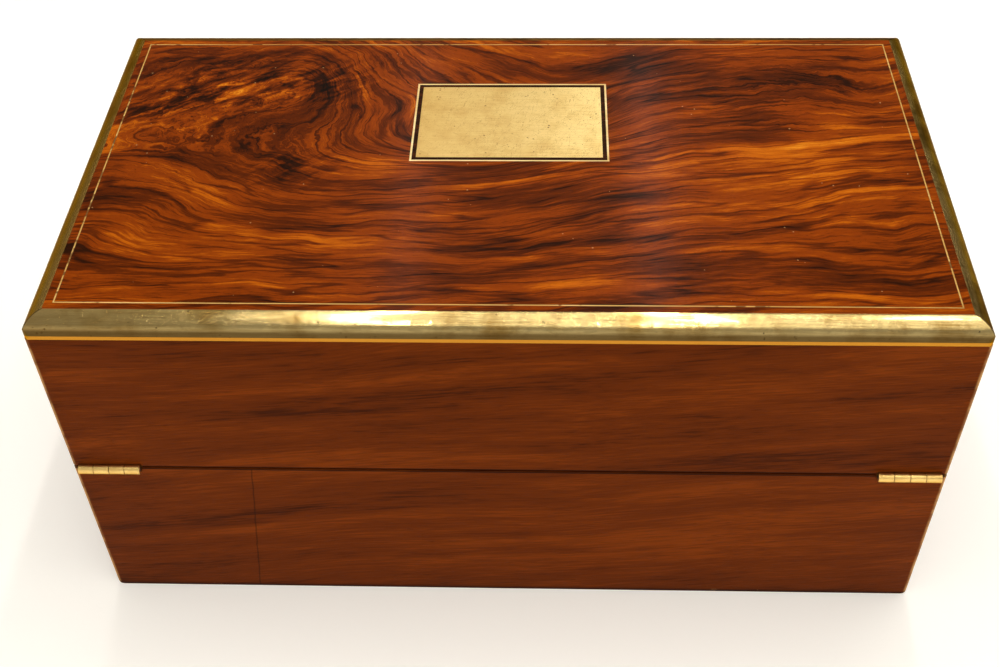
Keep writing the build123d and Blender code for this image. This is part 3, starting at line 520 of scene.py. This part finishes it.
def stain_in_places(tree, colour):
    """Old polish and dirt over parts of a thin line, and along its joints."""
    place = place_in_mm(tree)
    x, y, z = split_up(tree, place)
    lost = reckon(tree, "ADD", noise(tree, place, 0.16), fade(tree, x, -196, -150, 0.11, 0.0))
    stained = mix_colours(tree, fade(tree, lost, 0.62, 0.7, 0.0, 0.8), colour, paint(70, 34, 12))
    outer = 1000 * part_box("border_stringing")[1]
    past_end = reckon(tree, "SUBTRACT", reckon(tree, "ABSOLUTE", x), outer.x - line_half_width)
    past_side = reckon(tree, "SUBTRACT", reckon(tree, "ABSOLUTE", y), outer.y - line_half_width)
    off_line = reckon(tree, "ABSOLUTE", reckon(tree, "MAXIMUM", past_end, past_side))
    jointed = fade(tree, off_line, 0.1, line_half_width, 0.0, 0.8)
    return mix_colours(tree, jointed, stained, paint(96, 52, 16))


boxwood = ((158, 112, 50), (200, 154, 82), (228, 186, 114))
dress(wood_finish("pale_border", "x", *boxwood, gloss=0.03, age=stain_in_places), "border_stringing")


# Frame round the plate: a dark stained band with a pale boxwood line outside it. Both are let into the veneer
# and rubbed level, and this line has kept its colour.
clean_boxwood = ((186, 148, 88), (224, 192, 128), (244, 222, 166))
dark_wood = ((22, 8, 2), (42, 18, 5), (78, 36, 10))
dress(wood_finish("pale_line", "x", *clean_boxwood, gloss=0.03), "plate_stringing")
dress(wood_finish("dark_banding", "x", *dark_wood, band_width=3.0, gloss=0.02), "plate_banding")


# Rolled brass edge: cast brass strip, filed to a roll, mitred at the corners and let in round the lid. It is
# stained in patches and dirt lies in the mitres; it is bright on top, with painted shade lower down, a
# painted reflection of the table along the foot, and darker brass on the far and end strips as painted shade.
def brass_skin_group():
    """Old brass: stains, rubbing marks drawn out along X, stray scratches and small pits."""
    group = bpy.data.node_groups.new("brass_skin", "ShaderNodeTree")
    face = group.interface
    face.new_socket("Place", in_out="INPUT", socket_type="NodeSocketVector")
    for name in ("Clean", "Stained"):
        face.new_socket(name, in_out="INPUT", socket_type="NodeSocketColor")
    for name in ("Stain", "Roughness", "Pits", "Scratches"):
        face.new_socket(name, in_out="INPUT", socket_type="NodeSocketFloat")
    face.new_socket("Colour", in_out="OUTPUT", socket_type="NodeSocketColor")
    for name in ("Roughness", "Height"):
        face.new_socket(name, in_out="OUTPUT", socket_type="NodeSocketFloat")
    given = group.nodes.new("NodeGroupInput").outputs
    place = given["Place"]
    stain = fade(group, noise(group, place, 0.06, 5.0, 0.6), 0.4, 0.72)
    rub = noise(group, stretch(group, place, 0.05, 1.6, 1.6), 1.0, 4.0, 0.65)
    rubbed = fade(group, rub, 0.35, 0.7)
    scratches = None
    for turn, scale in ((0.5, 0.11), (-0.9, 0.09), (1.7, 0.07)):
        turned = spin(group, place, turn)
        sweep = noise(group, stretch(group, turned, scale, scale * 9, scale * 9), distortion=0.3)
        line = fade(group, away_from(group, sweep, 0.56), 0.0, 0.006, 1.0, 0.0)
        scratches = line if scratches is None else reckon(group, "MAXIMUM", scratches, line)
    specks = add_node(group, "TexVoronoi", {"Vector": place, "Scale": 0.42}).outputs["Distance"]
    speck_size = fade(group, noise(group, place, 0.13, 1.0), 0.45, 0.75, 0.0, 0.22)
    pit = reckon(group, "MULTIPLY", reckon(group, "LESS_THAN", specks, speck_size), given["Pits"])
    dulled = reckon(group, "MULTIPLY_ADD", rubbed, 0.5, stain)
    dulled = reckon(group, "MULTIPLY", dulled, given["Stain"], clamp=True)
    skin = mix_colours(group, dulled, given["Clean"], given["Stained"])
    pitted = mix_colours(group, reckon(group, "MULTIPLY", pit, 0.75), skin, paint(52, 34, 14))
    scratched = reckon(group, "MULTIPLY", scratches, given["Scratches"])
    marked = mix_colours(group, scratched, pitted, paint(96, 72, 34))
    roughened = reckon(group, "MULTIPLY_ADD", rubbed, 0.08, reckon(group, "MULTIPLY", stain, 0.07))
    rough = reckon(group, "ADD", given["Roughness"], roughened)
    sunk = reckon(group, "ADD", pit, reckon(group, "MULTIPLY", scratches, 0.14))
    rise = reckon(group, "SUBTRACT", reckon(group, "MULTIPLY", rub, 0.5), sunk)
    taken = group.nodes.new("NodeGroupOutput")
    for name, value in (("Colour", marked), ("Roughness", rough), ("Height", rise)):
        group.links.new(value, taken.inputs[name])
    return group


brass_skin = brass_skin_group()


def rub_along(tree, shader, along, much):
    """Fine scratches all run one way, so a highlight spreads across them."""
    runs = add_node(tree, "CombineXYZ", {along.upper(): 1.0}).outputs[0]
    in_room = {"vector_type": "VECTOR", "convert_from": "OBJECT", "convert_to": "WORLD"}
    turned = add_node(tree, "VectorTransform", {"Vector": runs}, **in_room).outputs[0]
    tree.links.new(turned, shader.inputs["Tangent"])
    shader.inputs["Anisotropic"].default_value = much
    shader.inputs["Anisotropic Rotation"].default_value = 0.25


def brass_finish(
    name, clean, stained, stain, roughness, rim=None, pits=1.0, along="x", spread=0.0, scratches=0.35,
    tint=None,
):
    """Metal of a colour, age and direction of rubbing. The rim is its colour where it turns away."""
    finish, tree, shader = new_finish(name)
    place = place_in_mm(tree)
    if along == "y":
        place = spin(tree, place, pi / 2)
    skin = use_group(
        tree, brass_skin, Place=place, Clean=paint(*clean), Stained=paint(*stained), Stain=stain,
        Roughness=roughness, Pits=pits, Scratches=scratches,
    )
    colour = tint(tree, skin["Colour"]) if tint else skin["Colour"]
    tree.links.new(colour, shader.inputs["Base Color"])
    tree.links.new(skin["Roughness"], shader.inputs["Roughness"])
    shader.inputs["Metallic"].default_value = 1.0
    shader.inputs["Specular Tint"].default_value = paint(*(rim or clean))
    rub_along(tree, shader, along, spread)
    raise_surface(tree, shader, skin["Height"], distance=0.00003)
    return finish


lid_height = 185.0


def roll_tarnish_and_shade_group():
    """Duller at the left end, painted shade lower down, a painted reflection of the table along the foot, and
    dark in the mitres.
    """
    group = bpy.data.node_groups.new("roll_tarnish_and_shade", "ShaderNodeTree")
    face = group.interface
    face.new_socket("Place", in_out="INPUT", socket_type="NodeSocketVector")
    for way in ("INPUT", "OUTPUT"):
        face.new_socket("Colour", in_out=way, socket_type="NodeSocketColor")
    given = group.nodes.new("NodeGroupInput").outputs
    x, y, z = split_up(group, given["Place"])
    at_left = fade(group, x, -half_width, -60, 0.45, 0.0)
    tarnished_and_shaded = mix_colours(group, at_left, given["Colour"], paint(158, 116, 48))
    # Darker lower down the roll: painted shade, for the dim room that the lower roll reflects.
    depth = reckon(group, "SUBTRACT", lid_height, z)
    tarnished_and_shaded = mix_colours(group, fade(group, depth, 2.0, 6.2, 0.0, 0.9), tarnished_and_shaded, paint(68, 48, 18))
    # Bright orange band along the foot: painted reflection of the lit table.
    foot_reflection = fade(group, depth, 7.9, 8.2, 0.0, 0.95, smooth=False)
    tarnished_and_shaded = mix_colours(group, foot_reflection, tarnished_and_shaded, paint(196, 134, 46))
    off_corner = reckon(group, "SUBTRACT", reckon(group, "ABSOLUTE", x), reckon(group, "ABSOLUTE", y))
    off_mitre = away_from(group, off_corner, half_width - half_depth)
    tarnished_and_shaded = mix_colours(group, fade(group, off_mitre, 0.12, 0.4, 0.85, 0.0), tarnished_and_shaded, paint(44, 30, 12))
    taken = group.nodes.new("NodeGroupOutput")
    group.links.new(tarnished_and_shaded, taken.inputs["Colour"])
    return group


roll_tarnish_and_shade = roll_tarnish_and_shade_group()


def tarnish_and_shade_below(tree, colour):
    """Lays the tarnish, painted shade and painted reflection of the roll over its brass."""
    return use_group(tree, roll_tarnish_and_shade, Place=place_in_mm(tree), Colour=colour)["Colour"]


# The far and end strips are given darker brass than the near one: painted shade on the sides that catch less
# light.
near_brass = ((234, 206, 138), (156, 118, 54), 0.7, 0.08)
far_brass_shaded = ((118, 90, 44), (66, 46, 20), 0.9, 0.34, (150, 120, 70))
end_brass_shaded = ((152, 126, 78), (88, 70, 38), 0.9, 0.24, (184, 162, 124))
dress(brass_finish("edge_brass", *near_brass, spread=0.92, tint=tarnish_and_shade_below), "edge_moulding_back")
dress(brass_finish("edge_brass_far_shaded", *far_brass_shaded, spread=0.6, tint=tarnish_and_shade_below), "edge_moulding_front")
dress(brass_finish("edge_brass_ends_shaded", *end_brass_shaded, along="y", spread=0.92, tint=tarnish_and_shade_below),
      "edge_moulding_left", "edge_moulding_right")


# Plate: a blank sheet of brass let into the lid for the owner, with its four sides filed square. It is finely
# scratched and pitted, and painted darker towards its left end as shade.
def shaded_at_left(tree, colour):
    """Darker brass towards the plate's left end: painted shade."""
    x = split_up(tree, place_in_mm(tree))["X"]
    return mix_colours(tree, fade(tree, x, -46, 40, 0.6, 0.0, smooth=False), colour, paint(176, 138, 74))


plate_brass = ((222, 195, 131), (186, 153, 90), 0.6, 0.36)
dress(brass_finish("plate_brass", *plate_brass, spread=0.6, scratches=0.8, tint=shaded_at_left), "brass_plate")


# Main hinges: two cast brass butts let into the rims, with their barrels half sunk in the back boards. Each
# turns on a steel pin, and six countersunk slotted screws hold its two leaves.
bright_brass = brass_finish("brass", (246, 208, 128), (196, 148, 72), 0.5, 0.3)
steel = brass_finish("steel", (168, 168, 170), (110, 106, 100), 0.6, 0.28, pits=0.5)
for hand in ("left", "right"):
    dress(bright_brass, f"{hand}_hinge_base_leaf", f"{hand}_hinge_lid_leaf")
dress(steel, "hinge_pins")


def screw_mesh(name, head, shank, depth, slot_half, slot_depth):
    """A screw's head, pointing down from z = 0: bevelled rim, slot cut right across, cone to the shank."""
    bevel = 0.00012
    steps = 14
    slope = (shank - head) / depth
    at_slot = head - bevel + slope * (slot_depth - bevel)
    points, faces = [], []

    def half_ring(radius, z, side):
        first = asin(slot_half / radius)
        turns = [first + (pi - 2 * first) * step / steps for step in range(steps + 1)]
        start = len(points)
        points.extend((radius * cos(turn), side * radius * sin(turn), z) for turn in turns)
        return list(range(start, start + steps + 1))

    lower = {}
    for side in (1, -1):
        flat = half_ring(head - bevel, 0, side)
        outer = half_ring(head, -bevel, side)
        floor = half_ring(at_slot, -slot_depth, side)
        lower[side] = floor
        faces.append(tuple(flat[::side]))
        for wide, tight in ((outer, flat), (floor, outer)):
            for step in range(steps):
                faces.append((wide[step], wide[step + 1], tight[step + 1], tight[step])[::side])
        faces.append((flat[0], flat[-1], outer[-1], floor[-1], floor[0], outer[0])[::side])
    rim = lower[1] + lower[-1][::-1]
    faces.append((lower[1][0], lower[1][-1], lower[-1][-1], lower[-1][0]))
    start = len(points)
    for index in rim:
        x, y, z = points[index]
        points.append((x * shank / at_slot, y * shank / at_slot, -depth))
    tip = list(range(start, start + len(rim)))
    for step, index in enumerate(rim):
        after = (step + 1) % len(rim)
        faces.append((index, tip[step], tip[after], rim[after]))
    faces.append(tuple(tip[::-1]))
    mesh = bpy.data.meshes.new(name)
    mesh.from_pydata(points, [], faces)
    mesh.update()
    return mesh


screw_head = screw_mesh(
    "screw_head", head=0.00194, shank=0.0009, depth=0.0011, slot_half=0.00026, slot_depth=0.0005,
)
screw_head.materials.append(bright_brass)


def drive_screw(name, place, out, turn, body):
    """A screw at a place in millimetres, its head facing out."""
    screw = bpy.data.objects.new(name, screw_head)
    facing_out = Vector(out).to_track_quat("Z", "X").to_matrix().to_4x4()
    screw.matrix_world = Matrix.Translation(Vector(place) / 1000) @ facing_out @ Matrix.Rotation(turn, 4, "Z")
    bpy.context.scene.collection.objects.link(screw)
    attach(screw, body)


hinge_middle, screw_step = 182.6, 9.5
turns = iter((0.3, 1.2, 2.6, 0.9, 2.0, 0.1, 1.7, 2.9, 0.6, 2.3, 1.0, 0.2, 1.4, 2.7, 0.5, 1.9, 0.8, 2.4))
for hand, middle in (("left", -hinge_middle), ("right", hinge_middle)):
    for count, x in enumerate((middle - screw_step, middle, middle + screw_step), 1):
        on_base, on_lid = (x, -105.462, 93.392), (x, -105.538, 93.785)
        drive_screw(f"{hand}_hinge_base_screw_{count}", on_base, up_slope, next(turns), "base")
        drive_screw(f"{hand}_hinge_lid_screw_{count}", on_lid, down_slope, next(turns), "lid")


# Lock: a brass box lock let into the front board, its steel bolt, the plate on the lid with the two eyes that
# the bolt passes through, and the lining of the keyhole. Slotted brass screws hold the lock and the plate.
dress(bright_brass, "lock_case", "lock_cap", "link_plate", "keyhole_escutcheon")
dress(steel, "lock_bolt")
for hand, side in (("left", -1), ("right", 1)):
    on_top = (side * 31.5, 103.845, 133.772)
    on_plate = (side * 30.25, 100.0, 104.524)
    on_link = (side * 23.5, 104.905, 134.996)
    drive_screw(f"lock_top_screw_{hand}", on_top, up_slope, next(turns), "base")
    drive_screw(f"lock_plate_screw_{hand}", on_plate, (0, -1, 0), next(turns), "base")
    drive_screw(f"link_screw_{hand}", on_link, down_slope, next(turns), "lid")


# Rails, dividers and pen tray: straight grained mahogany rubbed with oil. The rails and dividers are glued
# in, and the tray lifts out by hand.
mahogany = ((74, 34, 14), (112, 58, 28), (140, 82, 44))
inner_wood = wood_finish("inner_wood", "x", *mahogany, roughness=0.42, gloss=0.2)
inner_wood_across = wood_finish("inner_wood_across", "y", *mahogany, roughness=0.42, gloss=0.2)
dress(inner_wood, "base_hinge_rail", "lid_hinge_rail", "lid_front_rail")
dress(inner_wood, "pen_section_divider", "pen_section_floor", "pen_tray")
dress(inner_wood_across, "ink_divider_left", "ink_divider_right")


# Writing flaps: thin pine boards banded with walnut veneer on the side that is written on. Shut, that side
# faces up the slope on the base's flap and down the slope on the lid's.
banding_walnut = ((54, 22, 4), (104, 50, 12), (140, 76, 26))


def walnut_towards(direction):
    """Walnut veneer on the side that faces a direction."""
    def veneered(tree, colour):
        normal = add_node(tree, "TexCoord").outputs["Normal"]
        towards = reckon_place(tree, "DOT_PRODUCT", normal, direction, result="Value")
        banding = lay_grain(tree, "x", *banding_walnut)["Colour"]
        return mix_colours(tree, fade(tree, towards, 0.7, 0.9), colour, banding)
    return veneered


for half, direction in (("base", up_slope), ("lid", down_slope)):
    banded = walnut_towards(direction)
    flap_wood = wood_finish(f"flap_wood_{half}", "x", *pine, roughness=0.45, gloss=0.2, age=banded)
    dress(flap_wood, f"{half}_flap_board")


# Flap hinges: small brass butts let into the rails and the flaps, on steel pins. The same brass makes the
# turn button that keeps the lid's flap shut, and the screw that it turns on.
for half in ("base", "lid"):
    dress(bright_brass, f"{half}_flap_rail_leaves", f"{half}_flap_leaves")
    dress(steel, f"{half}_flap_hinge_pins")
dress(bright_brass, "flap_catch", "flap_catch_screw")


# Writing surface: green morocco leather, glued into each flap. A plain double line is tooled in gold round
# it, a broad line outside a thin one, partly rubbed away.
broad_line_inset, thin_line_inset = 7.0, 9.2


def leather_finish(name, panel):
    """Grained leather that fits the panel it lies in."""
    finish, tree, shader = new_finish(name)
    place = place_in_mm(tree)
    low, high = (1000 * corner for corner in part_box(panel))
    x, y, z = split_up(tree, place)
    from_end = reckon(tree, "SUBTRACT", high.x, reckon(tree, "ABSOLUTE", x))
    from_low, from_high = reckon(tree, "SUBTRACT", y, low.y), reckon(tree, "SUBTRACT", high.y, y)
    inset = reckon(tree, "MINIMUM", from_end, reckon(tree, "MINIMUM", from_low, from_high))
    broad = fade(tree, away_from(tree, inset, broad_line_inset), 0.35, 0.6, 1.0, 0.0)
    thin = fade(tree, away_from(tree, inset, thin_line_inset), 0.15, 0.35, 1.0, 0.0)
    rubbed = noise(tree, place, 0.06, 5.0, 0.7)
    left_of_gold = fade(tree, rubbed, 0.36, 0.56, 1.0, 0.25)
    gold = reckon(tree, "MULTIPLY", reckon(tree, "MAXIMUM", broad, thin), left_of_gold)
    pebbles = add_node(tree, "TexVoronoi", {"Vector": place, "Scale": 1.1}, feature="DISTANCE_TO_EDGE")
    pebble = fade(tree, pebbles.outputs["Distance"], 0.0, 0.16)
    valley = reckon(tree, "MULTIPLY", reckon(tree, "SUBTRACT", 1.0, pebble), 0.5)
    colour = mix_colours(tree, fade(tree, rubbed, 0.42, 0.7), paint(24, 56, 36), paint(52, 78, 46))
    colour = mix_colours(tree, valley, colour, paint(12, 30, 18))
    tree.links.new(mix_colours(tree, gold, colour, paint(190, 146, 70)), shader.inputs["Base Color"])
    tree.links.new(reckon(tree, "MULTIPLY", gold, 0.8), shader.inputs["Metallic"])
    tree.links.new(fade(tree, rubbed, 0.3, 0.7, 0.52, 0.4), shader.inputs["Roughness"])
    sunk = reckon(tree, "SUBTRACT", pebble, reckon(tree, "MULTIPLY", gold, 0.6))
    height = reckon(tree, "MULTIPLY_ADD", noise(tree, place, 2.6), 0.3, sunk)
    raise_surface(tree, shader, height, distance=0.00012)
    return finish


for half in ("base", "lid"):
    dress(leather_finish(f"writing_leather_{half}", f"{half}_flap_leather"), f"{half}_flap_leather")


# Lining of the spaces for papers: crimson cotton velvet glued to the bottom board and to the lid's board. Its
# pile is crushed in clouds, and the weave shows through.
thread_step = 0.7
velvet, tree, shader = new_finish("lining")
place = place_in_mm(tree)
threads = []
for across in split_up(tree, place):
    threads.append(reckon(tree, "SINE", reckon(tree, "MULTIPLY", across, 2 * pi / thread_step)))
weave = reckon(tree, "ADD", reckon(tree, "ADD", threads[0], threads[1]), threads[2])
crushed = noise(tree, place, 0.05, 5.0, 0.6)
pile = mix_colours(tree, fade(tree, crushed, 0.35, 0.65), paint(84, 16, 20), paint(132, 34, 36))
pile = mix_colours(tree, fade(tree, weave, -2.0, 2.0, 0.3, 0.0), pile, paint(48, 8, 12))
tree.links.new(pile, shader.inputs["Base Color"])
tree.links.new(fade(tree, crushed, 0.3, 0.7, 0.95, 0.8), shader.inputs["Roughness"])
shader.inputs["Specular IOR Level"].default_value = 0.1
shader.inputs["Sheen Weight"].default_value = 0.4
shader.inputs["Sheen Tint"].default_value = paint(214, 120, 116)
raise_surface(tree, shader, reckon(tree, "MULTIPLY_ADD", weave, 0.2, crushed), distance=0.00015)
dress(velvet, "base_lining", "lid_lining")


# Ink bottles: square bottles of moulded clear glass, a little cloudy from old ink. They stand loose in the
# two ink wells, and each has a round brass cap that lifts off.
glass, tree, shader = new_finish("bottle_glass")
cloudy = noise(tree, place_in_mm(tree), 0.14, 4.0, 0.6)
clear, clouded = (0.9, 0.96, 0.93, 1), (0.62, 0.7, 0.72, 1)
tree.links.new(mix_colours(tree, fade(tree, cloudy, 0.5, 0.75), clear, clouded), shader.inputs["Base Color"])
tree.links.new(fade(tree, cloudy, 0.4, 0.75, 0.02, 0.18), shader.inputs["Roughness"])
shader.inputs["Transmission Weight"].default_value = 1.0
shader.inputs["IOR"].default_value = 1.5
raise_surface(tree, shader, cloudy, distance=0.0001)
dress(glass, "ink_bottle_left", "ink_bottle_right")
dress(bright_brass, "ink_cap_left", "ink_cap_right")
